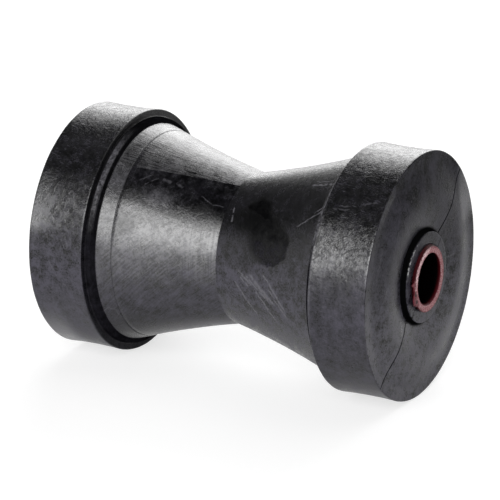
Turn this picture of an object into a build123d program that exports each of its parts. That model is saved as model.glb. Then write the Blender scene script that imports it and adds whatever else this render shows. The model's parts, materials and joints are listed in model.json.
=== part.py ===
from build123d import *
import os

# A rubber keel roller for a boat trailer or bow fitting, with its bush. Millimetres.
# The roller turns about Y, +Z is up, and the origin is the middle of the waist.

# Roller body, measured along the axis
rim_length = 123.0
flange_width = 20.2
neck_length = 1.7
root_step = 0.9

# Roller body, measured across the axis: each step goes down from the one before
flange_diameter = 82.0
shoulder_depth = 2.5
neck_taper = 0.2
root_depth = 1.7
waist_diameter = 50.7

# Curves of the moulding: how far a line leaves the straight, and the rounded edges
tread_sag = 0.35
cone_sag = 0.7
rim_rounding = 0.4
lip_rounding = 0.4
neck_rounding = 0.5

# End face: a flat ring at the rim, a low swell, and a boss round the bush
rim_ring_width = 2.5
swell_height = 1.6
swell_crest_reach = 11.35
boss_foot_height = 0.1
boss_foot_slope = 0.25
boss_height = 1.9
boss_wall = 4.05
boss_draft = 0.6
boss_rounding = 0.3

# Bush: a plain tube gripped by the rubber, a little longer than the roller
bore_diameter = 17.0
bush_wall = 2.3
bush_stand_out = 1.3
bush_mouth_chamfer = 0.3
bush_grip_gap = 0.0

# Stations worked out from the sizes above
rim_y = rim_length / 2
face_y = rim_y - flange_width
neck_y = face_y - neck_length
root_y = neck_y - root_step
boss_y = rim_y + boss_height
bush_y = boss_y + bush_stand_out
flange_r = flange_diameter / 2
neck_r = flange_r - shoulder_depth
neck_end_r = neck_r - neck_taper
root_r = neck_end_r - root_depth
waist_r = waist_diameter / 2
bore_r = bore_diameter / 2
bush_r = bore_r + bush_wall
seat_r = bush_r + bush_grip_gap
boss_r = seat_r + boss_wall
crest_r = boss_r + swell_crest_reach


def end_outline():
    """The line of one end, from the waist over the flange and end face to the bush seat."""
    cone = SagittaArc((waist_r, 0), (root_r, root_y), cone_sag)
    step = Line((root_r, root_y), (neck_end_r, neck_y))
    neck = Line((neck_end_r, neck_y), (neck_r, face_y))
    shoulder = Line((neck_r, face_y), (flange_r, face_y))
    tread = SagittaArc((flange_r, face_y), (flange_r, rim_y), tread_sag)
    ring_r = flange_r - rim_ring_width
    ring = Line((flange_r, rim_y), (ring_r, rim_y))
    foot = (boss_r + boss_draft, rim_y + boss_foot_height)
    crest = (crest_r, rim_y + swell_height)
    swell = Spline(
        (ring_r, rim_y), crest, foot, tangents=[(-1, 0), (-1, 0), (-1, -boss_foot_slope)]
    )
    boss_side = Line(foot, (boss_r, boss_y))
    boss_cap = Line((boss_r, boss_y), (seat_r, boss_y))
    seat = Line((seat_r, boss_y), (seat_r, 0))
    middle = Line((seat_r, 0), (waist_r, 0))
    return [cone, step, neck, shoulder, tread, ring, swell, boss_side, boss_cap, seat, middle]


def rounded(section, place, radius):
    """The section with its corner at a place rounded."""
    corner = section.vertices().sort_by_distance((*place, 0))[0]
    return fillet(corner, radius)


def roller_body():
    """One rubber moulding: two flanges, two cones that meet at the waist, two bosses."""
    half = Sketch() + make_face(end_outline())
    half = rounded(half, (flange_r, rim_y), rim_rounding)
    half = rounded(half, (flange_r, face_y), lip_rounding)
    half = rounded(half, (neck_r, face_y), neck_rounding)
    half = rounded(half, (boss_r, boss_y), boss_rounding)
    return revolve(half + mirror(half, about=Plane.XZ), axis=Axis.Y)


def bush():
    """The tube that turns on the spindle. Its ends stand out of the bosses."""
    wall = Pos((bore_r + bush_r) / 2, 0) * Rectangle(bush_wall, 2 * bush_y)
    mouths = wall.vertices().group_by(Axis.X)[0]
    return revolve(chamfer(mouths, bush_mouth_chamfer), axis=Axis.Y)


os.makedirs("parts", exist_ok=True)
for name, piece in {"roller_body": roller_body(), "spindle_bush": bush()}.items():
    export_step(piece, f"parts/{name}.step")
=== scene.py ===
import json
import math
from functools import cached_property

import bpy
import numpy as np
from mathutils import Matrix, Vector, noise


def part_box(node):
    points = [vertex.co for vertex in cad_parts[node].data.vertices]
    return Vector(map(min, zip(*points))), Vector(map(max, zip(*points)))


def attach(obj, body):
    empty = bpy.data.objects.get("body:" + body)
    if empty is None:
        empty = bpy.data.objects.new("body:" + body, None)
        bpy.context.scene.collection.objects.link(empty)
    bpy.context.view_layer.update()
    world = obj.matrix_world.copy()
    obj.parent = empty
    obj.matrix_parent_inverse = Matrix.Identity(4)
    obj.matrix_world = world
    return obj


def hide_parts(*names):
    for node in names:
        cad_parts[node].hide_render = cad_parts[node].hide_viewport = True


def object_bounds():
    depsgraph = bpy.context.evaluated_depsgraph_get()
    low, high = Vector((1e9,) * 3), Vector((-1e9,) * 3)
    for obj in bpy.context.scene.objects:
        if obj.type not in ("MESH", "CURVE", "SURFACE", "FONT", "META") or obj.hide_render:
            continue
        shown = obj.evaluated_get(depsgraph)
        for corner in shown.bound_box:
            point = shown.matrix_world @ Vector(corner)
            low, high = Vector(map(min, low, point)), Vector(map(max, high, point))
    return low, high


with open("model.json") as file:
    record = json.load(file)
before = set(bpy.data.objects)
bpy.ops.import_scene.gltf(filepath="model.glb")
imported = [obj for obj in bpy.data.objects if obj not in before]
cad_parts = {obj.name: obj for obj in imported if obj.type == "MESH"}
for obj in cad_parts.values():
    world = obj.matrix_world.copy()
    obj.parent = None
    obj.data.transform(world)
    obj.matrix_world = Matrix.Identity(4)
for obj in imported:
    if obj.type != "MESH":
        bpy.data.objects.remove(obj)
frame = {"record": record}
cad_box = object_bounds()

# Sizes are in millimetres until a mesh or a light is made, and angles are in degrees.
# An angle round the axis is measured from the top, towards the side that the camera sees (-X).
# The near end is the one at -Y, whose face the camera sees, and the far end is the one at +Y.
MM = 0.001

# Sizes that the frame gives
body_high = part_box("roller_body")[1] / MM
bush_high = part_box("spindle_bush")[1] / MM
floor_z = cad_box[0].z
bore_mount = next(m for m in frame["record"]["mounts"] if m["name"] == "spindle_bore")
bore_r = bore_mount["dims"]["r_mm"]
bush_r = bush_high.x
boss_y = body_high.y

# Sizes of the moulding, from the end face inwards
boss_height = 1.9
boss_wall = 4.05
boss_draft = 0.6
boss_foot_height = 0.1
boss_foot_slope = 0.25
swell_height = 1.6
swell_crest_reach = 11.35
rim_ring_width = 2.5
flange_width = 20.2
tread_sag = 0.35
shoulder_depth = 2.5
neck_length = 1.7
neck_taper = 0.2
root_step = 0.9
root_depth = 1.7
cone_sag = 0.7
waist_diameter = 50.7
rim_rounding = 0.4
lip_rounding = 0.4
neck_rounding = 0.5
boss_rounding = 0.3
inner_rounding = 0.2

# Stations of the moulding. The lip's rounding lies on the sagging tread, just inside its corner.
flange_r = body_high.x + lip_rounding * 4 * tread_sag / flange_width
rim_y = boss_y - boss_height
face_y = rim_y - flange_width
neck_y = face_y - neck_length
root_y = neck_y - root_step
neck_r = flange_r - shoulder_depth
neck_end_r = neck_r - neck_taper
root_r = neck_end_r - root_depth
waist_r = waist_diameter / 2
boss_r = bush_r + boss_wall
boss_foot_r = boss_r + boss_draft
crest_r = boss_r + swell_crest_reach
ring_r = flange_r - rim_ring_width

# Lines that the mould left: one round the far cone, and one across each end face
mould_line_y = 33.7
mould_line_depth = 0.18
mould_line_reach = 0.17
seam_angle = -44.7
seam_depth = 0.45
seam_reach = 0.30
seam_sharpness = 0.7
seam_loss_on_boss = 0.75

# Unevenness of the moulded skin, as its depth and the size of its bumps
broad_swim = 0.05, 17
close_swim = 0.05, 7
skin_swim = 0.022, 1.9

# The bush: a tube whose ends were sawn and left rough. Its near end sits a little off centre.
mouth_chamfer = 0.3
edge_break = 0.12
saw_roughness = 0.06
saw_margin = 0.03
burr_angles = (79, 130)
burr_reach = 2.3
burr_waves = 9.5
end_drop = 0.35
end_shift = 0.45
bend_start = 0.1
bend_end = 0.6

# How finely the pieces are divided. The columns of the moulding are close together by the seam.
ring_step = 0.95
column_step = 0.80
step_spacing = 0.4
corner_step = 0.07
ring_clearance = 0.3
seam_columns = (0.0, 0.13, 0.30, 0.5)
seam_fade = 9.0
bush_columns = 300

# The camera, fitted to the outlines in the photograph. Its bearing runs from +Y towards +X.
view_bearing = 61.577
view_drop = 18.163
camera_place = (-0.84359, -0.45576, 0.31368)
camera_lens = 220.18
camera_sensor = 36.0
camera_shift = (-0.001, 0.001)

# Marks on the skin are placed by y and angle. This makes an angle into a length round the moulding.
arc_per_degree = 0.6

# Scratches, as (start, end, width). Starts and ends are (y, angle).
pale_scratches = [
    ((-8.7, 85), (-15.5, 94.5), 1.3), ((-10, 90), (-14, 95.5), 1.0), ((-13.5, 86), (-25, 102), 1.4),
    ((-16, 90), (-24, 102.5), 1.7), ((-19.7, 83), (-29.5, 104), 1.0), ((-16, 95), (-24.5, 114), 1.1),
    ((-7.7, 94), (-16.5, 116), 1.0), ((-12, 87.5), (-22, 101), 1.1), ((-22, 92), (-30, 108), 0.9),
    ((-29, 26.3), (-39, 28), 1.1), ((-30, 24), (-38, 25.5), 0.5), ((-30, 54.5), (-40.5, 44), 0.6),
    ((-2.5, 42), (-3.0, 47), 0.8), ((-3.2, 48), (-3.6, 54), 0.8), ((-36, 46), (-40, 42), 0.5),
]
faint_scratches = [
    ((24.5, 36), (28.2, 44), 0.5), ((26.5, 35), (30, 42), 0.45), ((36.4, 64), (34.6, 66), 1.1),
    ((23.4, 36.2), (20.0, 36.8), 1.7), ((18.9, 35.4), (16.0, 37.4), 1.3), ((9.6, 39), (5.2, 43.6), 0.5),
    ((5.2, 43.6), (1.0, 42.8), 0.5), ((39, 121), (36.8, 119), 0.5), ((37.2, 119), (34.6, 121), 0.5),
    ((34.9, 120), (33.8, 131), 0.4), ((56, 77), (53.5, 82), 0.6), ((54.5, 76), (52, 81), 0.6),
    ((48, 77), (46.5, 84.5), 0.7), ((49.5, 79), (47.5, 85), 0.6), ((54, 92), (52, 96), 0.6),
    ((51.5, 98.5), (49.5, 99.5), 0.5), ((49.5, 102), (47.5, 103), 0.5), ((55, 66), (51, 62), 0.5),
    ((-51.5, 68.8), (-55.5, 64.8), 0.6), ((-55.5, 64.6), (-59.5, 63.6), 0.6), ((-53, 41.5), (-58, 40), 0.6),
    ((-44, 46), (-50, 45), 0.6), ((-46, 44), (-52, 43), 0.5),
]
dark_scratches = [
    ((-51, 66.6), (-55, 63), 0.7), ((-55, 63), (-60, 61.8), 0.8), ((-48.5, 62), (-50, 65), 0.5),
]

# Patches of skin. A corner is (y, angle, how soft the next edge is), and they go round to the left.
worn_through = [(27, 64, 3.0), (33.6, 62, 0.6), (33.8, 78, 3.0), (28.5, 76, 3.0)]
rubbed_spot = [(19, 44, 2.0), (26, 45, 2.5), (26, 53, 3.0), (19, 54, 3.0)]
dark_leaf = [(0.3, 36, 1.0), (9, 31, 0.5), (13, 37, 1.5), (9.5, 43, 0.5), (3, 42, 0.8)]
# The next three patches are painted shade on the near cone by the crease.
crease_lobe = [
    (-12.5, 45, 2.0), (-3.7, 46, 0.3), (-0.5, 64, 0.3), (-5.5, 80, 0.25), (-8.7, 83.5, 0.25),
    (-13.5, 86, 0.25), (-20, 82.5, 0.5), (-20.2, 52, 1.5),
]
flange_lobe = [
    (-27.5, 58, 2.5), (-20, 50, 4.0), (-11, 48, 4.0), (-12, 70, 2.0), (-19, 79.5, 0.3),
    (-23.7, 79, 0.3), (-28.5, 73, 0.6), (-29.2, 62.5, 0.9),
]
dark_pool = [(-19.2, 51.5, 1.2), (-16.7, 38, 1.2), (-11.7, 35, 1.0), (-8.2, 41.5, 0.5), (-11.7, 46, 0.3)]

# Straight edges of worn skin on the far cone, from (y, angle) to (y, angle)
greyed_edge = (39, 37.5), (0, 20)
burnished_edge = (10, 61), (34, 54)

# Pale smears on the end face, as (middle in x and z, half length and width, lean from x, strength). Those
# that run along the rim on its right side are painted reflections of the light there.
end_smears_and_rim_sheen = [
    ((-16.2, -13.3), (3.2, 1.1), 92, 0.6), ((-28.7, 2.4), (2.8, 0.6), 54, 0.3),
    ((-16.4, 14.4), (3.4, 0.4), 35, 0.2), ((20.3, 1.4), (3.4, 0.35), 2, 0.35),
    ((32.4, -11.5), (4.0, 0.9), 70, 0.4), ((29.3, -18.3), (4.4, 1.1), 58, 0.4),
    ((24.6, -24.2), (4.5, 1.2), 46, 0.35), ((29.5, 14.5), (7.0, 2.0), 115, 0.2),
    ((-5.0, -27.0), (6.0, 2.4), 20, 0.22), ((-24.0, -24.0), (5.0, 1.0), 130, 0.25),
    ((-31.5, 13.0), (6.0, 0.9), 68, 0.15), ((8, -30), (7, 2.0), 160, 0.2),
]

# Colours of the rubber. The scuff grey also paints highlights, the nick grey paints a highlight on the
# boss's edge, and the cut black paints the shade in grooves.
clean_black = (0.003, 0.003, 0.0033, 1)
bloom_grey = (0.0572, 0.054, 0.071, 1)
scuff_and_highlight_grey = (0.13, 0.127, 0.142, 1)
boss_highlight_grey = (0.5, 0.5, 0.5, 1)
cut_and_groove_shade_black = (0.002, 0.002, 0.002, 1)

# Colours of the bush. The tube red is partly painted shade, the bore black is painted shade, the worn pink
# is a painted highlight and the hole red is painted shade in pits.
shaded_tube_red = (0.045, 0.005, 0.007, 1)
mouth_red = (0.07, 0.004, 0.007, 1)
bore_shade_black = (0.001, 0.0005, 0.0005, 1)
crushed_red = (0.15, 0.03, 0.037, 1)
sawn_red = (0.28, 0.085, 0.097, 1)
speck_pink = (0.6, 0.42, 0.43, 1)
highlight_pink = (0.85, 0.60, 0.62, 1)
burr_red = (0.13, 0.016, 0.026, 1)
hole_shade_red = (0.03, 0.002, 0.004, 1)

# The studio. The camera and reflections see the floor's glow on top of the light it gives back.
white = (1, 1, 1, 1)
floor_grey = (0.5, 0.5, 0.5, 1)
floor_glow = 0.66
floor_far_glow = 0.34
floor_fade = (600, 1300)
floor_reach = 6.0
wall_top = (0.25, 0.45)
wall_light = 1.0
ceiling_light = 0.08


def along(start, end, sag=0.0, step=ring_step):
    """Points of a shallow arc from start up to end. It leaves its chord by sag, to the left."""
    start, chord = np.array(start), np.subtract(end, start)
    length = np.linalg.norm(chord)
    t = np.linspace(0, 1, max(2, round(length / step)), endpoint=False)[:, None]
    left = np.array((-chord[1], chord[0])) / length
    return start + chord * t + left * (4 * sag * t * (1 - t))


def swelling(start, end, end_slope=0.0):
    """Points of the end face's swell from start up to end, level at start."""
    count = round(abs(start[0] - end[0]) / ring_step)
    t = np.linspace(0, 1, count, endpoint=False)
    rise = (end[1] - start[1]) * t * t * (3 - 2 * t)
    tail = end_slope * (end[0] - start[0]) * t * t * (t - 1)
    return np.stack([start[0] + (end[0] - start[0]) * t, start[1] + rise + tail], 1)


def rounded(line, corner, radius, count=5, clearance=1.15):
    """The line with an arc of that radius at a corner."""
    corner = np.array(corner)
    away = np.linalg.norm(line - corner, axis=1)
    at = int(np.argmin(away))
    back = line[at - 1] - corner
    on = line[at + 1] - corner
    back, on = back / np.linalg.norm(back), on / np.linalg.norm(on)
    half = math.acos(np.clip(back @ on, -1, 1)) / 2
    reach = radius / math.tan(half)
    middle = (back + on) / np.linalg.norm(back + on)
    centre = corner + middle * radius / math.sin(half)
    first, last = corner + back * reach - centre, corner + on * reach - centre
    turn = math.pi - 2 * half
    t = np.linspace(0, 1, count)[:, None]
    arc = centre + (np.sin((1 - t) * turn) * first + np.sin(t * turn) * last) / math.sin(turn)
    before = line[:at][away[:at] > reach * clearance]
    after = line[at + 1:][away[at + 1:] > reach * clearance]
    return np.concatenate([before, arc, after])


def end_line():
    """The line of one end as radius and place along the axis, from the waist to the bush seat."""
    waist, root = (waist_r, 0.0), (root_r, root_y)
    neck_end, neck = (neck_end_r, neck_y), (neck_r, face_y)
    lip, rim, ring = (flange_r, face_y), (flange_r, rim_y), (ring_r, rim_y)
    crest, foot = (crest_r, rim_y + swell_height), (boss_foot_r, rim_y + boss_foot_height)
    cap, seat = (boss_r, boss_y), (bush_r, boss_y)
    line = np.concatenate([
        along(waist, root, cone_sag),
        along(root, neck_end, step=step_spacing),
        along(neck_end, neck, step=step_spacing),
        along(neck, lip, step=step_spacing),
        along(lip, rim, tread_sag),
        along(rim, ring, step=0.5),
        swelling(ring, crest),
        swelling(crest, foot, boss_foot_slope),
        along(foot, cap, step=0.35),
        along(cap, seat, step=0.7),
        [seat],
    ])
    corners = [(root, inner_rounding), (neck_end, inner_rounding), (neck, neck_rounding)]
    corners += [(lip, lip_rounding), (rim, rim_rounding), (foot, inner_rounding), (cap, boss_rounding)]
    for place, radius in corners:
        line = rounded(line, place, radius)
    return line


def with_rings_at(line, places):
    """The line with its points near some places along the cone replaced by points at them."""
    for y in places:
        radius = np.interp(y, *line[line[:, 1] <= root_y][:, ::-1].T)
        far_off = abs(line[:, 1] - y) > ring_clearance
        line = line[far_off | (line[:, 1] > root_y) | np.isin(line[:, 1], places)]
        at = int(np.argmax(line[:, 1] > y))
        line = np.insert(line, at, (radius, y), axis=0)
    return line


def moulding_line():
    """The whole line of the moulding, from one bush seat to the other."""
    line = end_line()
    close = [mould_line_y + share * mould_line_reach for share in (-1, -0.5, 0, 0.5, 1)]
    line = with_rings_at(line, [corner_step, 3 * corner_step, *close])
    other = line[:0:-1] * (1, -1)
    return np.concatenate([other, line])


def column_places():
    """Places round the rim, in mm from the nearest end of the seam, close together there."""
    half = math.pi * flange_r / 2
    fine = seam_columns[-1]
    plain = np.linspace(fine, half, round((half - fine) / column_step), endpoint=False)[1:]
    one_side = np.concatenate([seam_columns, plain])
    return np.concatenate([-one_side[:0:-1], one_side, [half]])


def angles_at(radius, end_face):
    """Each column's angle in radians. On an end face the columns by the seam run beside it."""
    places = column_places()
    near = np.exp(-(places / seam_fade) ** 2)
    widening = flange_r / max(radius, boss_foot_r) - 1 if end_face else 0.0
    turn = places / flange_r * (1 + near * widening)
    seam = math.radians(seam_angle)
    return np.concatenate([seam + turn, seam + math.pi + turn])


def smooth(value, low, high):
    """0 below low, 1 above high, and an S-curve between."""
    t = np.clip((value - low) / (high - low), 0, 1)
    return t * t * (3 - 2 * t)


def waves(points, size, seed):
    """Smooth seeded noise of about -1 to 1 at each point, with bumps of that size."""
    offset = Vector((seed * 17.3, seed * 5.1, seed * 9.7))
    return np.array([noise.noise(Vector(p) / size + offset) for p in points])


def relief(points, radius, y, places):
    """How far the real surface stands out of the plain one at each point, in mm."""
    on_end = smooth(abs(y), rim_y - 0.3, rim_y + 0.1) * (radius < flange_r - 0.2)
    on_boss = smooth(-radius, -boss_foot_r, -boss_r)
    on_tread = (radius > neck_r + 0.4) * (1 - on_end)
    swim = 0.0
    for seed, (depth, size) in enumerate((broad_swim, close_swim), 1):
        swim = swim + depth * (waves(points, size, seed) - 1)
    skin = skin_swim[0] * waves(points, skin_swim[1], 3) * (0.35 + 0.65 * on_tread)
    seam = np.clip(1 - abs(places) / seam_reach, 0, 1) ** seam_sharpness
    seam_cut = seam_depth * seam * on_end * (1 - seam_loss_on_boss * on_boss)
    line = np.clip(1 - abs(abs(y) - mould_line_y) / mould_line_reach, 0, 1)
    line_cut = mould_line_depth * line * (radius < neck_r) * (y > 0)
    off_seat = smooth(radius, boss_r - 0.2, boss_foot_r + 0.6)
    return (swim + skin) * off_seat - seam_cut - line_cut


def new_piece(name, corners, faces, node, material):
    """A smooth mesh piece that stands for a CAD node. Corners are in mm."""
    mesh = bpy.data.meshes.new(name)
    mesh.from_pydata((np.asarray(corners) * MM).tolist(), [], faces)
    mesh.shade_smooth()
    mesh.materials.append(material)
    piece = bpy.data.objects.new(name, mesh)
    bpy.context.scene.collection.objects.link(piece)
    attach(piece, "root")
    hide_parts(node)


def ring_faces(rings, columns):
    """Faces between rings of points, where the last ring joins the first."""
    ring = np.arange(rings)[:, None]
    column = np.arange(columns)[None, :]
    here, there = ring * columns, (ring + 1) % rings * columns
    right = (column + 1) % columns
    corners = (here + column, here + right, there + right, there + column)
    return np.stack(corners, -1).reshape(-1, 4).tolist()


def spokes(angle):
    """The direction out of the axis at each angle in radians."""
    return np.stack([-np.sin(angle), 0 * angle, np.cos(angle)], 1)


def roller_body(material):
    """The rubber moulding, with its seams and the slight unevenness of its skin."""
    line = moulding_line()
    step = np.gradient(line, axis=0)
    outward = np.stack([step[:, 1], -step[:, 0]], 1)
    outward /= np.linalg.norm(outward, axis=1)[:, None]
    places = np.tile(column_places(), 2)
    rings = []
    for (radius, y), (out_r, out_y) in zip(line, outward):
        angle = angles_at(radius, abs(y) > rim_y - rim_rounding)
        spoke = spokes(angle)
        plain = spoke * radius + (0, y, 0)
        height = relief(plain, np.full(len(angle), radius), np.full(len(angle), y), places)
        rings.append(plain + (spoke * out_r + (0, out_y, 0)) * height[:, None])
    faces = ring_faces(len(rings), len(places))
    new_piece("keel_roller_rubber", np.concatenate(rings), faces, "roller_body", material)


def bush_line():
    """The line of the bush's wall as radius and place along the axis, once round."""
    end = bush_high.y - saw_margin
    wall = [(bush_r, y) for y in np.linspace(-end + 1.0, end - 1.0, 30)]
    face = [(bush_r, end - 0.5), (bush_r, end - edge_break), (bush_r - edge_break, end)]
    face += [(r, end) for r in np.linspace(bush_r - 0.35, bore_r + mouth_chamfer + 0.25, 7)]
    face += [(bore_r + mouth_chamfer, end), (bore_r, end - mouth_chamfer), (bore_r, end - 1.0)]
    bore = [(bore_r, y) for y in np.linspace(end - 2.0, -end + 2.0, 40)]
    back = [(r, -y) for r, y in face[::-1]]
    return np.array(wall + face + bore + back)


def burr_height(angle, y):
    """How high the torn burr stands at each angle, 0 to 1. Only the near end has one."""
    first, last = burr_angles
    torn = (np.degrees(angle) - first) / (last - first)
    ends = smooth(torn, 0, 0.04) * (1 - smooth(torn, 0.85, 1))
    return ends * (0.6 + 0.4 * np.cos(burr_waves * torn)) * (y < 0)


def spindle_bush(material):
    """The tube, with its saw-rough ends and a torn burr on the edge of one."""
    line = bush_line()
    angle = np.linspace(0, 2 * math.pi, bush_columns, endpoint=False)
    spoke = spokes(angle)
    end = line[:, 1].max()
    rings = []
    for radius, y in line:
        plain = spoke * radius + (0, y, 0)
        at_end = smooth(abs(y), end - 0.6, end - 0.1)
        outer = smooth(radius, bush_r - 0.8, bush_r)
        rough = saw_roughness * (waves(plain, 0.9, 5) + 0.6 * waves(plain, 0.35, 6)) * at_end
        lift = burr_reach * burr_height(angle, y) * outer * (0.9 + 0.4 * waves(plain, 0.8, 7)) * at_end
        outward = lift + 0.7 * rough * (1 + outer)
        inward = np.sign(y) * (abs(rough) + 0.2 * saw_roughness * at_end)
        bend = smooth(-y, boss_y + bend_start, boss_y + bend_end)
        off = np.array((-end_shift, 0, -end_drop)) * bend
        rings.append(plain + spoke * outward[:, None] - np.outer(inward, (0, 1, 0)) + off)
    faces = ring_faces(len(rings), bush_columns)
    new_piece("bush_tube", np.concatenate(rings), faces, "spindle_bush", material)


class Nodes:
    """One material's nodes, with a short call for each kind that is used.

    A mask is 1 where it holds and 0 elsewhere.
    """

    def __init__(self, name):
        self.material = bpy.data.materials.new(name)
        self.material.use_nodes = True
        self.tree = self.material.node_tree
        self.surface = self.tree.nodes["Principled BSDF"]
        self.place = self.vector("SCALE", self.add("ShaderNodeTexCoord").outputs["Object"], scale=1 / MM)
        split = self.add("ShaderNodeSeparateXYZ")
        self.put(split.inputs[0], self.place)
        self.x, self.y, self.z = split.outputs

    @cached_property
    def radius(self):
        return self.length(self.x, self.z)

    @cached_property
    def angle(self):
        turn = self.math("ARCTAN2", self.times(self.x, -1), self.z)
        return self.times(turn, 180 / math.pi)

    @cached_property
    def arc(self):
        return self.times(self.angle, arc_per_degree)

    @cached_property
    def map(self):
        """A point's place along the axis and round it, in mm."""
        return self.joined(self.y, self.arc, 0.0)

    def add(self, kind, **settings):
        node = self.tree.nodes.new(kind)
        for name, value in settings.items():
            setattr(node, name, value)
        return node

    def put(self, socket, value):
        if isinstance(value, bpy.types.NodeSocket):
            self.tree.links.new(value, socket)
        else:
            socket.default_value = value

    def show(self, **values):
        """Sets inputs of the surface, given by their names with _ for a space."""
        for name, value in values.items():
            self.put(self.surface.inputs[name.replace("_", " ")], value)

    def math(self, operation, *values, clamp=False):
        node = self.add("ShaderNodeMath", operation=operation, use_clamp=clamp)
        for socket, value in zip(node.inputs, values):
            self.put(socket, value)
        return node.outputs[0]

    def vector(self, operation, value, other=None, scale=None, output="Vector"):
        node = self.add("ShaderNodeVectorMath", operation=operation)
        self.put(node.inputs[0], value)
        if other is not None:
            self.put(node.inputs[1], other)
        if scale is not None:
            self.put(node.inputs["Scale"], scale)
        return node.outputs[output]

    def dot(self, value, direction):
        return self.vector("DOT_PRODUCT", value, direction, output="Value")

    def joined(self, x, y, z):
        node = self.add("ShaderNodeCombineXYZ")
        for socket, value in zip(node.inputs, (x, y, z)):
            self.put(socket, value)
        return node.outputs[0]

    def noise(self, place, size, detail, rough, twist=0.0):
        """Noise of 0 to 1, with features of that size."""
        node = self.add("ShaderNodeTexNoise")
        self.put(node.inputs["Vector"], place)
        node.inputs["Scale"].default_value = 1 / size
        node.inputs["Detail"].default_value = detail
        node.inputs["Roughness"].default_value = rough
        node.inputs["Distortion"].default_value = twist
        return node.outputs["Fac"]

    def ramp(self, value, low, high, start=0.0, end=1.0):
        """An S-curve from start to end as the value goes from low to high."""
        node = self.add("ShaderNodeMapRange", interpolation_type="SMOOTHSTEP")
        names = ("Value", "From Min", "From Max", "To Min", "To Max")
        for name, number in zip(names, (value, low, high, start, end)):
            self.put(node.inputs[name], number)
        return node.outputs[0]

    def mixed(self, kind, suffix, share, first, second):
        node = self.add("ShaderNodeMix", data_type=kind)
        names = ("Factor_Float", f"A_{suffix}", f"B_{suffix}")
        for name, value in zip(names, (share, first, second)):
            self.put(next(s for s in node.inputs if s.identifier == name), value)
        return next(s for s in node.outputs if s.identifier == f"Result_{suffix}")

    def mix(self, share, first, second):
        """The colour between two others, by share."""
        return self.mixed("RGBA", "Color", share, first, second)

    def blend(self, share, first, second):
        """The number between two others, by share."""
        return self.mixed("FLOAT", "Float", share, first, second)

    def repeated(self, operation, values):
        result = values[0]
        for value in values[1:]:
            result = self.math(operation, result, value)
        return result

    def times(self, *values):
        return self.repeated("MULTIPLY", values)

    def total(self, *values):
        return self.repeated("ADD", values)

    def most(self, *values):
        return self.repeated("MAXIMUM", values)

    def less(self, value, amount):
        return self.math("SUBTRACT", value, amount)

    def without(self, mask):
        return self.less(1.0, mask)

    def length(self, *values):
        return self.math("SQRT", self.total(*(self.times(value, value) for value in values)))

    def band(self, value, low, high, soft):
        """A mask that holds between low and high."""
        from_low = self.ramp(value, low - soft, low + soft)
        return self.times(from_low, self.ramp(value, high + soft, high - soft))

    def line(self, start, end):
        """A point's way from start on the map, and the direction and distance from start to end."""
        (y0, a0), (y1, a1) = start, end
        dy, da = y1 - y0, (a1 - a0) * arc_per_degree
        length = math.hypot(dy, da)
        way = self.vector("SUBTRACT", self.map, (y0, a0 * arc_per_degree, 0))
        return way, (dy / length, da / length), length

    def beside(self, start, end):
        """How far a point lies to the left of a line, with y to the right and the angle up."""
        way, (dy, da), _ = self.line(start, end)
        return self.dot(way, (-da, dy, 0))

    def beyond(self, start, end, soft):
        """A mask of what is to the left of the line from start to end."""
        return self.ramp(self.beside(start, end), -soft, soft)

    def patch(self, corners, wobble):
        """A mask of a convex patch, with an edge that the wobble moves."""
        inside = 1.0
        for start, end in zip(corners, corners[1:] + corners[:1]):
            edge = self.total(self.beside(start[:2], end[:2]), wobble)
            inside = self.times(self.ramp(edge, -start[2], start[2]), inside)
        return inside

    def strokes(self, lines, wobble):
        """A mask of scratches with faint ends."""
        shown = 0.0
        for start, end, width in lines:
            way, (dy, da), length = self.line(start, end)
            share = self.dot(way, (dy / length, da / length, 0))
            beside = self.dot(way, (-da, dy, 0))
            near = self.ramp(self.math("ABSOLUTE", self.total(beside, wobble)), width * 0.65, 0.0)
            ends = self.ramp(self.math("ABSOLUTE", self.less(share, 0.5)), 0.5, 0.38)
            shown = self.most(shown, self.times(ends, near))
        return shown

    def leaning(self, degrees, long, short):
        """Places across an end face, stretched along a direction that leans that much from x towards z."""
        c, s = math.cos(math.radians(degrees)), math.sin(math.radians(degrees))
        return (c / long, 0, s / long), (-s / short, 0, c / short)

    def smears(self, ovals, wobble):
        """A mask of soft ovals on an end face, each as strong as its list says."""
        shown = 0.0
        for (x, z), (long, short), lean, strength in ovals:
            off = self.vector("SUBTRACT", self.place, (x, 0, z))
            on, beside = self.leaning(lean, long, short)
            away = self.length(self.dot(off, on), self.dot(off, beside))
            shown = self.most(shown, self.ramp(self.total(away, wobble), 1.3, 0.4, 0.0, strength))
        return shown

    def scuffed(self, lean, long, short):
        """Streaks of 0 to 1 across an end face that lean that many degrees from x towards z."""
        on, beside = self.leaning(lean, long, short)
        stretched = self.joined(self.dot(self.place, on), self.dot(self.place, beside), 0.0)
        return self.ramp(self.noise(stretched, 1.0, 3, 0.6), 0.34, 0.66)

    def swing(self, size, amount):
        """Noise of about minus to plus that amount."""
        return self.times(self.less(self.noise(self.place, size, 3, 0.6), 0.5), 3.3 * amount)

    def drawn(self, lean, long, short, low, high):
        """Light streaks that lean that many degrees from the axis towards a growing angle."""
        c, s = math.cos(math.radians(lean)), math.sin(math.radians(lean))
        on = self.total(self.times(self.y, c / long), self.times(self.arc, s / long))
        beside = self.total(self.times(self.y, -s / short), self.times(self.arc, c / short))
        return self.ramp(self.noise(self.joined(on, beside, 0.0), 1.0, 3, 0.6), low, high)

    def bump(self, height, distance, strength, normal=None):
        """A normal that shows a height of 0 to 1 as that many millimetres."""
        node = self.add("ShaderNodeBump")
        self.put(node.inputs["Height"], height)
        node.inputs["Distance"].default_value = distance * MM
        node.inputs["Strength"].default_value = strength
        if normal is not None:
            self.put(node.inputs["Normal"], normal)
        return node.outputs[0]


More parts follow.
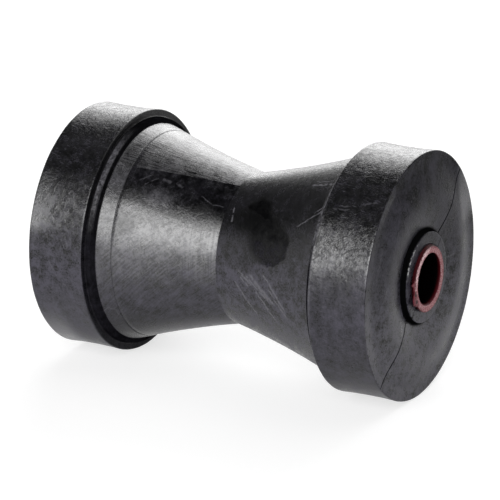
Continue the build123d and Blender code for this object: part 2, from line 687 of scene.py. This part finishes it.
class RubberSkin(Nodes):
    """The rubber's parts, textures, worn places and places of painted light and shade, and the colour and
    gloss they come to.

    Bloom is the share of grey in the colour; in places it also carries painted shade and painted light.
    Gloss is how strongly the skin mirrors the studio.
    """

    def __init__(self, name):
        super().__init__(name)
        self.side = self.math("ABSOLUTE", self.y)
        self.turn = self.math("ABSOLUTE", self.angle)
        self.below = self.ramp(self.turn, 50, 100)
        self.find_parts()
        self.draw_textures()
        self.find_greyed_skin()
        self.find_burnished_skin()
        self.find_shaded_lobes()
        self.find_cuts_and_groove_shade()
        # A painted highlight on each neck, which also raises the gloss there.
        self.neck_highlight = self.find_neck_highlight()
        self.rough = self.times(
            self.blend(self.below, 1.0, 0.45), self.without(self.times(self.shaded_lobes, 0.6)),
            self.blend(self.cone, 1.0, 0.7),
        )

    def find_parts(self):
        """Masks of the moulding's parts, of its two ends, and of the places whose colour is darkened as
        painted shade.
        """
        side, radius = self.side, self.radius
        self.far = self.ramp(self.y, -0.05, 0.05)
        self.cone = self.ramp(side, root_y - 0.1, root_y - 0.4)
        self.far_cone = self.times(self.far, self.cone)
        self.near_cone = self.times(self.without(self.far), self.cone)
        tread_start = self.ramp(side, face_y - 0.1, face_y + 0.5)
        self.on_tread = self.times(tread_start, self.ramp(side, rim_y + 0.1, rim_y - 0.3))
        self.on_end = self.ramp(side, rim_y - 0.35, rim_y - 0.1)
        self.on_boss = self.times(self.on_end, self.ramp(side, boss_y - 0.35, boss_y - 0.15))
        # A ring round the boss's foot on each end face, kept dark as a painted shadow.
        by_boss = self.ramp(radius, boss_foot_r + 1.5, boss_foot_r + 0.3)
        self.boss_foot_shade = self.times(self.on_end, by_boss, self.without(self.on_boss))
        # The hollow between each cone and its flange, whose grey is darkened as painted shade.
        near_depth = self.ramp(side, root_y + 0.3, root_y + 0.9)
        far_depth = self.ramp(side, face_y - 0.25, face_y - 0.02, 1.0, 0.85)
        under_lip = self.ramp(radius, flange_r - 0.2, flange_r - 0.5)
        self.recess_shade = self.times(
            self.band(side, root_y - 0.1, face_y + 0.25, 0.12), under_lip,
            self.blend(self.far, near_depth, far_depth),
        )

    def draw_textures(self):
        """Noise and streaks, and how far the edges of patches wobble, in mm."""
        self.cloud = self.swing(8.0, 1.0)
        self.blotches = self.swing(2.8, 1.0)
        self.grain = self.swing(0.6, 1.0)
        self.fine = self.noise(self.place, 0.55, 3, 0.6, 0.5)
        self.worms = self.math("ABSOLUTE", self.less(self.noise(self.place, 1.7, 3, 0.6, 0.9), 0.5))
        specks = self.noise(self.place, 1.6, 6, 0.8, 0.5)
        self.mottle = self.ramp(self.total(specks, self.times(self.cloud, 0.05)), 0.40, 0.62)
        self.brushed = self.drawn(6, 7.0, 0.5, 0.36, 0.64)
        self.slanting = self.less(self.drawn(45, 6.0, 0.6, 0.34, 0.66), 0.5)
        self.wobble = self.total(self.swing(5.0, 0.8), self.swing(1.4, 0.35))
        rough_scuff = self.total(self.scuffed(62, 7.0, 0.55), self.scuffed(-20, 5.0, 0.7), -1.0)
        wisps = self.total(self.blotches, self.grain, self.times(rough_scuff, 0.35))
        self.wisps = self.times(wisps, self.ramp(self.z, 14, -12, 0.3, 1.15))

    def find_greyed_skin(self):
        """Greyed skin above a straight line on the far cone, and the dark ragged streak under it."""
        top = self.ramp(self.angle, -60, -30)
        self.greyed = self.times(self.far_cone, self.beyond(*greyed_edge, 0.2), top)
        self.uneven = self.total(
            self.angle, self.swing(9.0, 9.0), self.times(self.blotches, 4.0), self.times(self.grain, 3.0),
        )
        up_to_line = self.ramp(self.y, mould_line_y + 0.9, mould_line_y + 0.2)
        leaf = self.times(self.patch(dark_leaf, self.wobble), 0.35)
        streak = self.times(self.ramp(self.uneven, 52, 42), up_to_line)
        self.shaded = self.times(self.far_cone, self.without(self.greyed), self.total(streak, leaf))

    def find_burnished_skin(self):
        """Skin that use has polished, lower on the far cone, with a straight upper edge."""
        self.rubbed = self.patch(rubbed_spot, self.wobble)
        lower = self.beyond(*burnished_edge, 0.5)
        edge_glow = self.times(lower, self.ramp(self.y, 8, 20), self.ramp(self.angle, 68, 56), 0.22)
        rising = self.times(self.ramp(self.uneven, 32, 73), self.blend(lower, 0.7, 1.0))
        by_flange = self.ramp(self.y, 32.5, 35)
        rising_there = self.ramp(self.uneven, 20, 50, 0.0, 0.7)
        rising = self.blend(by_flange, self.total(rising, edge_glow), rising_there)
        worn = self.blend(self.patch(worn_through, self.wobble), 1.0, 0.4)
        rising = self.total(self.times(rising, worn), self.times(self.rubbed, self.mottle, 0.5))
        self.burnished = self.times(self.far_cone, rising, self.ramp(self.uneven, 116, 76))

    def find_shaded_lobes(self):
        """Two lobes of dark skin on the near cone by the crease, which are painted shade, with the darkest
        painted shade in a spot above them.
        """
        lobes = (self.patch(corners, self.wobble) for corners in (crease_lobe, flange_lobe, dark_pool))
        by_crease, by_flange, self.shade_pool = (self.times(self.near_cone, lobe) for lobe in lobes)
        by_crease = self.times(by_crease, self.ramp(self.angle, 68, 52, 0.22, 0.85))
        by_crease = self.times(by_crease, self.ramp(self.y, -4, -14, 0.1, 1.0))
        shaded_lobes = self.most(by_crease, self.times(by_flange, 0.95))
        uneven = self.total(0.85, self.times(self.blotches, 0.5), self.times(self.grain, 0.45))
        self.shaded_lobes = self.times(shaded_lobes, uneven)

    def find_cuts_and_groove_shade(self):
        """The seam across the end faces, the line round the far cone and a few dark scratches. The seam and
        the line are painted black as the shade in their grooves.
        """
        turn = math.radians(seam_angle)
        off_seam = self.total(self.times(self.x, math.cos(turn)), self.times(self.z, math.sin(turn)))
        groove = self.ramp(self.math("ABSOLUTE", off_seam), seam_reach + 0.13, 0.13)
        seam = self.times(self.on_end, groove, self.blend(self.on_boss, 1.0, 0.2))
        line = self.band(self.y, mould_line_y - 0.06, mould_line_y + 0.06, 0.12)
        broken = self.ramp(self.swing(6.0, 1.0), -0.5, 0.1)
        line = self.times(line, broken, self.ramp(self.angle, 112, 95))
        scratches = self.times(self.strokes(dark_scratches, self.swing(2.0, 0.5)), 0.6)
        self.cuts_and_groove_shade = self.most(seam, line, scratches)

    def find_neck_highlight(self):
        """A painted highlight on the neck between each cone and its flange."""
        on_neck = self.band(self.side, neck_y - 0.2, face_y - 0.3, 0.15)
        where = self.times(self.band(self.angle, 24, 66, 14), self.blend(self.mottle, 0.2, 1.0))
        return self.times(on_neck, where, self.total(0.9, self.times(self.grain, 0.4)))

    def scratches(self):
        """Where scratches have left the skin of the cones and treads pale."""
        wobble = self.total(self.swing(3.5, 0.5), self.swing(1.2, 0.12))
        pale = self.times(self.strokes(pale_scratches, wobble), 0.75)
        faint = self.times(self.strokes(faint_scratches, wobble), 0.34)
        broken = self.ramp(self.noise(self.place, 1.1, 2, 0.6), 0.28, 0.55)
        return self.times(self.most(pale, faint), broken)

    def strip_highlight_and_rubbing(self):
        """A painted highlight on a strip beside the mould's line, and paler skin in the rubbed spot, both
        on the far cone.
        """
        strip = self.band(self.y, mould_line_y + 0.2, root_y - 0.3, 0.3)
        strip = self.times(strip, self.band(self.angle, 38, 52, 7), 0.55)
        where = self.most(strip, self.times(self.rubbed, 0.5))
        return self.times(where, self.blend(self.mottle, 0.35, 1.0))

    def edge_highlights(self):
        """Painted highlights along the outer edges of the rims and the inner lip of the near flange."""
        rim = self.band(self.side, rim_y - 0.35, rim_y + 0.02, 0.1)
        rim = self.times(rim, self.ramp(self.angle, 70, 95), self.ramp(self.cloud, -0.4, 0.3), 0.35)
        lip = self.band(self.y, -face_y - 0.9, -face_y + 0.1, 0.25)
        lip = self.times(lip, self.ramp(self.radius, flange_r - 0.6, flange_r - 0.3))
        lip = self.times(lip, self.band(self.angle, 50, 100, 14), self.blend(self.mottle, 0.15, 0.5))
        return self.most(rim, lip)

    def marks(self):
        """All that is paler than the bloom: scratches, smears and rubbed skin, and painted highlights and
        reflections.
        """
        # The smears along the rim on the right are painted reflections.
        smears = self.smears(end_smears_and_rim_sheen, self.swing(1.8, 0.5))
        smears = self.times(self.on_end, smears, self.total(1.0, self.grain))
        neck_highlight = self.times(self.neck_highlight, 0.95)
        return self.most(self.scratches(), self.strip_highlight_and_rubbing(), neck_highlight, smears, self.edge_highlights())

    def boss_edge_highlight(self):
        """A painted highlight along the upper edge of the boss, broken into specks."""
        edge = self.times(self.on_end, self.band(self.radius, boss_r - 0.4, boss_r + 0.05, 0.1))
        edge = self.times(edge, self.band(self.angle, 30, 75, 10))
        return self.times(edge, self.ramp(self.noise(self.place, 0.9, 2, 0.6), 0.46, 0.62))

    def bloom_and_low_sheen(self):
        """The bloom that lies all round, much paler on the lower skin, where it is partly bloom and partly
        a painted sheen of the floor's light. Each pair is a strength on the upper and on the lower skin.
        """
        blotched_tread = self.times(self.on_tread, self.far, self.ramp(self.turn, 112, 92, 0.3, 1.0))
        busy = self.most(self.near_cone, blotched_tread)
        wormy = self.times(self.ramp(self.worms, 0.045, 0.01), self.ramp(self.blotches, 0.0, 0.4))
        return self.total(
            self.blend(self.below, 0.05, 0.49),
            self.times(self.cloud, self.blend(self.below, 0.07, 0.26)),
            self.times(self.blotches, self.blend(self.below, 0.06, self.blend(busy, 0.4, 0.9))),
            self.times(self.grain, self.blend(self.below, 0.08, self.blend(busy, 0.4, 0.95))),
            self.times(wormy, self.rough, 0.25),
        )

    def cone_bloom(self):
        """What the worn skin of the cones adds to the bloom, and the painted shade of the lobes on the near
        cone, with a paler band below them.
        """
        below_lobes = self.times(self.band(self.angle, 82, 104, 5), self.band(self.y, -30, -4, 4))
        return self.total(
            self.times(self.greyed, self.brushed, 0.16),
            self.times(self.far_cone, self.below, self.slanting, 0.42),
            self.times(self.shaded_lobes, -0.2),
            self.times(self.shade_pool, -0.3),
            self.times(self.near_cone, below_lobes, self.without(self.shaded_lobes), 0.12),
        )

    def tread_bloom(self):
        """What the treads add to the bloom: short dashes, a pale rim, and a paler lower half on the far
        tread, which is partly a painted sheen.
        """
        clumps = self.ramp(self.noise(self.place, 4.0, 2, 0.5), 0.45, 0.6)
        dashes = self.times(self.drawn(-10, 3.0, 0.32, 0.54, 0.68), clumps, 0.5)
        near_rim = self.times(self.ramp(self.y, -55, -60), self.band(self.angle, 74, 98, 8))
        near_rim = self.times(near_rim, self.blend(self.mottle, 0.2, 0.6))
        far_low_sheen = self.times(self.far, self.ramp(self.turn, 84, 108), 0.14)
        return self.times(self.on_tread, self.total(dashes, near_rim, far_low_sheen))

    def end_bloom_and_light(self):
        """The grey of an end face: paler low down, paler towards the camera's side as painted light, and
        kept dark round the boss's foot as a painted shadow.
        """
        height = self.ramp(self.z, 35, -30, 0.26, 0.60)
        camera_side_light = self.ramp(self.x, 0, -24, 0.0, 0.12)
        bloom = self.total(height, camera_side_light, self.times(self.cloud, 0.4), self.times(self.wisps, 0.8))
        return self.times(bloom, self.without(self.boss_foot_shade))

    def bloom(self):
        bloom = self.total(self.bloom_and_low_sheen(), self.cone_bloom(), self.tread_bloom())
        # Painted shade: the grey is halved low under the far cone and cut to three tenths in the hollows by
        # the flanges.
        underside_shade = self.times(self.far_cone, self.ramp(self.turn, 112, 140), self.ramp(self.y, 12, 30))
        bloom = self.times(bloom, self.blend(underside_shade, 1.0, 0.5), self.blend(self.recess_shade, 1.0, 0.3))
        return self.math("ADD", self.blend(self.on_end, bloom, self.end_bloom_and_light()), 0.0, clamp=True)

    def colour(self, bloom):
        base = self.mix(bloom, clean_black, bloom_grey)
        # The pale marks carry painted highlights and reflections, the boss's edge gets a painted highlight,
        # and the grooves get painted shade.
        base = self.mix(self.marks(), base, scuff_and_highlight_grey)
        base = self.mix(self.boss_edge_highlight(), base, boss_highlight_grey)
        return self.mix(self.cuts_and_groove_shade, base, cut_and_groove_shade_black)

    def burnished_gloss(self):
        """What the polished skin of the far cone adds, with rings round it by the crease."""
        squeezed = self.vector("MULTIPLY", self.place, (0.05, 1 / 0.35, 0.05))
        rings = self.less(self.ramp(self.noise(squeezed, 1.0, 3, 0.65), 0.36, 0.64), 0.5)
        rings = self.times(self.band(self.y, -1, 11, 2.0), rings, 0.9)
        streaks = self.times(self.slanting, 0.5)
        shine = self.total(self.mottle, streaks, self.times(self.grain, 0.55), rings)
        return self.times(self.burnished, self.blend(shine, 0.35, 0.80))

    def greyed_gloss(self):
        """What the greyed skin of the far cone adds."""
        ridge = self.times(self.ramp(self.y, 25, 33), self.ramp(self.angle, 17, 5), 0.16)
        strength = self.total(
            self.ramp(self.angle, 26, 0, -0.13, 0.05), ridge,
            self.times(self.brushed, 0.4), self.times(self.blotches, 0.34),
        )
        return self.times(self.greyed, strength)

    def cone_gloss(self):
        upper, lower = self.blend(self.far, 0.26, 0.33), self.blend(self.far, 0.2, 0.25)
        by_crease = self.times(self.ramp(self.y, -16, -2), self.ramp(self.angle, 28, 8), 0.28)
        return self.total(
            self.blend(self.below, upper, lower), self.burnished_gloss(), self.greyed_gloss(),
            self.times(self.shaded, self.total(-0.30, self.times(self.blotches, 0.16))),
            self.times(self.shaded_lobes, self.total(-0.21, self.times(self.grain, 0.06))),
            self.times(self.shade_pool, self.total(-0.22, self.times(self.blotches, 0.1))),
            self.times(self.near_cone, by_crease),
        )

    def tread_gloss(self):
        """The gloss of the treads, with a worn crest halfway up each side."""
        by_rims = self.ramp(self.y, -43, -60, 0.72, 1.25), self.ramp(self.y, 44, 52, 1.0, 1.5)
        crest = self.times(self.band(self.turn, 53, 73, 7), self.blend(self.mottle, 0.2, 0.75), *by_rims)
        far_rim = self.times(self.ramp(self.y, 53, 60), self.band(self.angle, 52, 76, 6), 0.95)
        far_foot = self.times(self.ramp(self.y, 50, 57), self.ramp(self.turn, 115, 145), 0.4)
        plain = self.blend(self.below, self.blend(self.mottle, 0.15, 0.65), 0.18)
        gloss = self.total(plain, crest, far_rim, far_foot)
        return self.times(gloss, self.ramp(self.angle, -30, 12, 0.35, 1.0))

    def end_gloss(self):
        """The gloss of an end face, with a lit patch near its rim on the side away from the camera."""
        low = self.times(self.ramp(self.z, -12, -34), self.ramp(self.x, 24, 12))
        gloss = self.times(
            self.ramp(self.z, 36, -24, 0.01, 0.14), self.ramp(self.x, 12, 26, 1.0, 0.4),
            self.blend(low, 1.0, 0.5), self.blend(self.on_boss, 1.0, 0.6),
        )
        rim_light = self.times(self.ramp(self.x, 26, 36), self.band(self.z, 13, 34, 5), 0.24)
        uneven = self.total(1.0, self.times(self.wisps, 0.45))
        return self.times(self.total(gloss, rim_light), uneven, self.without(self.boss_foot_shade))

    def gloss(self):
        gloss = self.blend(self.on_tread, self.cone_gloss(), self.tread_gloss())
        dull = self.times(self.ramp(self.turn, 108, 140), self.ramp(self.y, 56, 48))
        dull = self.times(dull, self.without(self.on_end))
        gloss = self.times(gloss, self.blend(dull, 1.0, 0.35), self.without(self.recess_shade))
        gloss = self.total(gloss, self.times(self.neck_highlight, 0.3))
        gloss = self.blend(self.on_end, gloss, self.end_gloss())
        return self.math("MULTIPLY", gloss, self.without(self.cuts_and_groove_shade), clamp=True)

    def unevenness(self):
        """A normal with brush marks, worm-like wrinkles and fine pits."""
        scratched = self.bump(self.times(self.greyed, self.brushed), 0.04, 0.6)
        wrinkled = self.bump(self.times(self.worms, self.rough), 0.24, 0.8, scratched)
        return self.bump(self.times(self.fine, self.rough), 0.07, 0.8, wrinkled)


def rubber():
    """Black moulded rubber: half-gloss, with a grey bloom, a worn skin, scuffs, and painted shade and
    highlights.
    """
    n = RubberSkin("rubber_black")
    bloom = n.bloom()
    n.show(Base_Color=n.colour(bloom), Roughness=n.total(0.24, n.times(bloom, 0.2)), IOR=1.7)
    n.show(Specular_IOR_Level=n.gloss(), Normal=n.unevenness())
    return n.material


class BushSkin(Nodes):
    """The bush's places as masks, and the colours they have."""

    def __init__(self, name):
        super().__init__(name)
        bent = self.ramp(self.y, -boss_y - bend_start, -boss_y - bend_end)
        aside = self.total(self.x, self.times(bent, end_shift))
        up = self.total(self.z, self.times(bent, end_drop))
        bent_radius = self.length(aside, up)
        self.near = self.ramp(self.y, 0, -1)
        self.depth = self.less(bush_high.y, self.math("ABSOLUTE", self.y))
        self.saw = self.noise(self.vector("MULTIPLY", self.place, (1.0, 0.4, 1.0)), 0.5, 3, 0.6)
        self.frayed = self.total(bent_radius, self.swing(0.9, 0.7))
        self.in_bore = self.ramp(bent_radius, bore_r + 0.25, bore_r + 0.05)
        self.torn = self.times(self.band(self.angle, *burr_angles, 2), self.near)
        inside = self.ramp(bent_radius, bush_r - 0.02, bush_r - 0.14)
        flat = self.times(self.ramp(self.depth, 0.4, 0.15), inside)
        burr = self.times(self.torn, self.ramp(self.depth, 0.7, 0.3))
        self.sawn = self.times(self.most(flat, burr), self.without(self.in_bore))

    def smooth_colour(self):
        """The colour of the tube outside, which is partly painted shade, and of the bore, which goes dark
        inwards as painted shade.
        """
        bore = self.mix(self.ramp(self.depth, 0.2, 1.7), mouth_red, bore_shade_black)
        return self.mix(self.in_bore, shaded_tube_red, bore)

    def pink_highlight_side(self):
        """A painted highlight where the sawn face is palest: its upper side towards the camera."""
        within = self.ramp(self.frayed, bush_r + 0.1, bush_r - 0.5)
        within = self.times(within, self.ramp(self.frayed, bore_r + 0.3, bore_r + 0.8))
        return self.times(self.band(self.angle, 5, 90, 14), within, self.ramp(self.saw, 0.34, 0.58))

    def shaded_holes(self):
        """Dark pits in the torn part of the sawn face, which are painted shade."""
        where = self.times(self.band(self.angle, 98, 128, 4), self.near)
        where = self.times(where, self.ramp(self.frayed, bush_r - 1.5, bush_r - 0.6))
        return self.times(where, self.ramp(self.noise(self.place, 1.3, 2, 0.5), 0.56, 0.46))

    def sawn_colour(self):
        """The colour of the sawn face, with specks, a painted highlight on its paler side, the burr, and
        the painted shade of its pits.
        """
        inner = self.ramp(self.frayed, bush_r, bush_r - 0.8)
        specks = self.times(self.ramp(self.saw, 0.42, 0.62), inner, 0.5)
        burr = self.times(self.torn, self.ramp(self.frayed, bush_r - 1.1, bush_r - 0.3))
        burr = self.times(burr, self.ramp(self.saw, 0.62, 0.42))
        base = self.mix(self.ramp(self.frayed, bush_r - 0.1, bush_r - 0.9), crushed_red, sawn_red)
        base = self.mix(specks, base, speck_pink)
        base = self.mix(self.pink_highlight_side(), base, highlight_pink)
        base = self.mix(burr, base, burr_red)
        return self.mix(self.shaded_holes(), base, hole_shade_red)


def bush_plastic():
    """Crimson plastic, dark where it is smooth and dusky pink where the saw has left it rough, with painted
    shade in the bore and pits and painted highlights on the sawn face.
    """
    n = BushSkin("bush_red")
    bore_gloss = n.ramp(n.depth, 0.5, 3.0, 0.1, 0.0)
    n.show(Base_Color=n.mix(n.sawn, n.smooth_colour(), n.sawn_colour()))
    n.show(Roughness=n.blend(n.sawn, 0.4, 0.5), Normal=n.bump(n.saw, 0.12, 0.7))
    n.show(Specular_IOR_Level=n.blend(n.sawn, n.blend(n.in_bore, 0.12, bore_gloss), 0.12))
    return n.material


def floor_material():
    """Pale and dull, and seen as white by the camera and reflections, apart from the object's shadow."""
    n = Nodes("floor_pale")
    path = n.add("ShaderNodeLightPath").outputs
    seen = n.most(path["Is Camera Ray"], path["Is Glossy Ray"], path["Is Transmission Ray"])
    far = n.ramp(n.length(n.x, n.y, n.z), *floor_fade, 0.0, floor_far_glow)
    glow = n.total(n.times(seen, floor_glow), n.times(path["Is Camera Ray"], far))
    n.show(Base_Color=floor_grey, Roughness=0.9, Specular_IOR_Level=0.0)
    n.show(Emission_Color=white, Emission_Strength=glow)
    return n.material


def pale_floor():
    """A wide square floor under the object."""
    mesh = bpy.data.meshes.new("floor")
    corners = [(x * floor_reach, y * floor_reach, floor_z) for x, y in ((-1, -1), (1, -1), (1, 1), (-1, 1))]
    mesh.from_pydata(corners, [], [(0, 1, 2, 3)])
    mesh.materials.append(floor_material())
    floor = bpy.data.objects.new("floor", mesh)
    bpy.context.scene.collection.objects.link(floor)


def direction(azimuth, elevation):
    """The unit vector towards a bearing from +Y towards +X, and a height above the horizon."""
    a, e = math.radians(azimuth), math.radians(elevation)
    return Vector((math.sin(a) * math.cos(e), math.cos(a) * math.cos(e), math.sin(e)))


def lamp(name, place, turn, size, radiance):
    """A rectangular lamp that the camera doesn't see, in metres."""
    light = bpy.data.lights.new(name, "AREA")
    light.shape = "RECTANGLE"
    light.size, light.size_y = size
    light.energy = radiance * math.pi * size[0] * size[1]
    hung = bpy.data.objects.new(name, light)
    hung.location = place
    hung.rotation_mode = "QUATERNION"
    hung.rotation_quaternion = turn
    hung.visible_camera = False
    bpy.context.scene.collection.objects.link(hung)


def softbox(name, bearing, distance, size, radiance):
    """A lamp that faces the object, at a distance along a bearing and height in degrees."""
    away = direction(*bearing)
    lamp(name, away * distance, away.to_track_quat("Z", "Y"), size, radiance)


def overhead(height, edge, width, near, far, radiance):
    """A level lamp over the object's right, whose long edge runs along the line of sight.

    Edge, width, near and far are shares of the height: how far to the right it starts, how wide it is,
    and where it starts and ends along the line of sight.
    """
    ahead, right, up = direction(view_bearing, 0), direction(view_bearing + 90, 0), Vector((0, 0, 1))
    middle = right * (edge + width / 2) + ahead * (near + far) / 2 + up
    turn = Matrix((right, ahead, up)).transposed().to_quaternion()
    lamp("lamp_overhead", middle * height, turn, (width * height, (far - near) * height), radiance)


def surroundings():
    """A world that is white up to a low wall's height and a dim room above."""
    world = bpy.data.worlds.new("studio")
    bpy.context.scene.world = world
    world.use_nodes = True
    tree = world.node_tree
    background = tree.nodes["Background"]
    place = tree.nodes.new("ShaderNodeTexCoord")
    split = tree.nodes.new("ShaderNodeSeparateXYZ")
    ramp = tree.nodes.new("ShaderNodeMapRange")
    ramp.interpolation_type = "SMOOTHSTEP"
    names = ("From Min", "From Max", "To Min", "To Max")
    for name, value in zip(names, (*wall_top, wall_light, ceiling_light)):
        ramp.inputs[name].default_value = value
    background.inputs["Color"].default_value = white
    tree.links.new(place.outputs["Generated"], split.inputs[0])
    tree.links.new(split.outputs["Z"], ramp.inputs["Value"])
    tree.links.new(ramp.outputs[0], background.inputs["Strength"])


def studio():
    """White surroundings and soft lamps behind, in front of and above the object."""
    surroundings()
    softbox("lamp_behind", (78, 26), 1.5, (1.3, 1.15), 3.3)
    softbox("lamp_streak", (81, 36), 1.6, (0.5, 0.6), 1.4)
    softbox("lamp_front", (-97, 25), 1.4, (1.45, 1.0), 3.7)
    overhead(1.4, edge=0.055, width=0.75, near=-0.35, far=0.85, radiance=1.1)


def camera():
    """The photograph's viewpoint."""
    data = bpy.data.cameras.new("camera")
    data.lens, data.sensor_width = camera_lens, camera_sensor
    data.shift_x, data.shift_y = camera_shift
    data.clip_start, data.clip_end = 0.05, 20
    seen_from = bpy.data.objects.new("camera", data)
    back = -direction(view_bearing, -view_drop)
    right = direction(view_bearing + 90, 0)
    turn = Matrix((right, back.cross(right), back)).transposed().to_4x4()
    seen_from.matrix_world = Matrix.Translation(camera_place) @ turn
    bpy.context.scene.collection.objects.link(seen_from)
    bpy.context.scene.camera = seen_from


roller_body(rubber())
spindle_bush(bush_plastic())
pale_floor()
studio()
camera()
bpy.context.scene.view_settings.view_transform = "Standard"
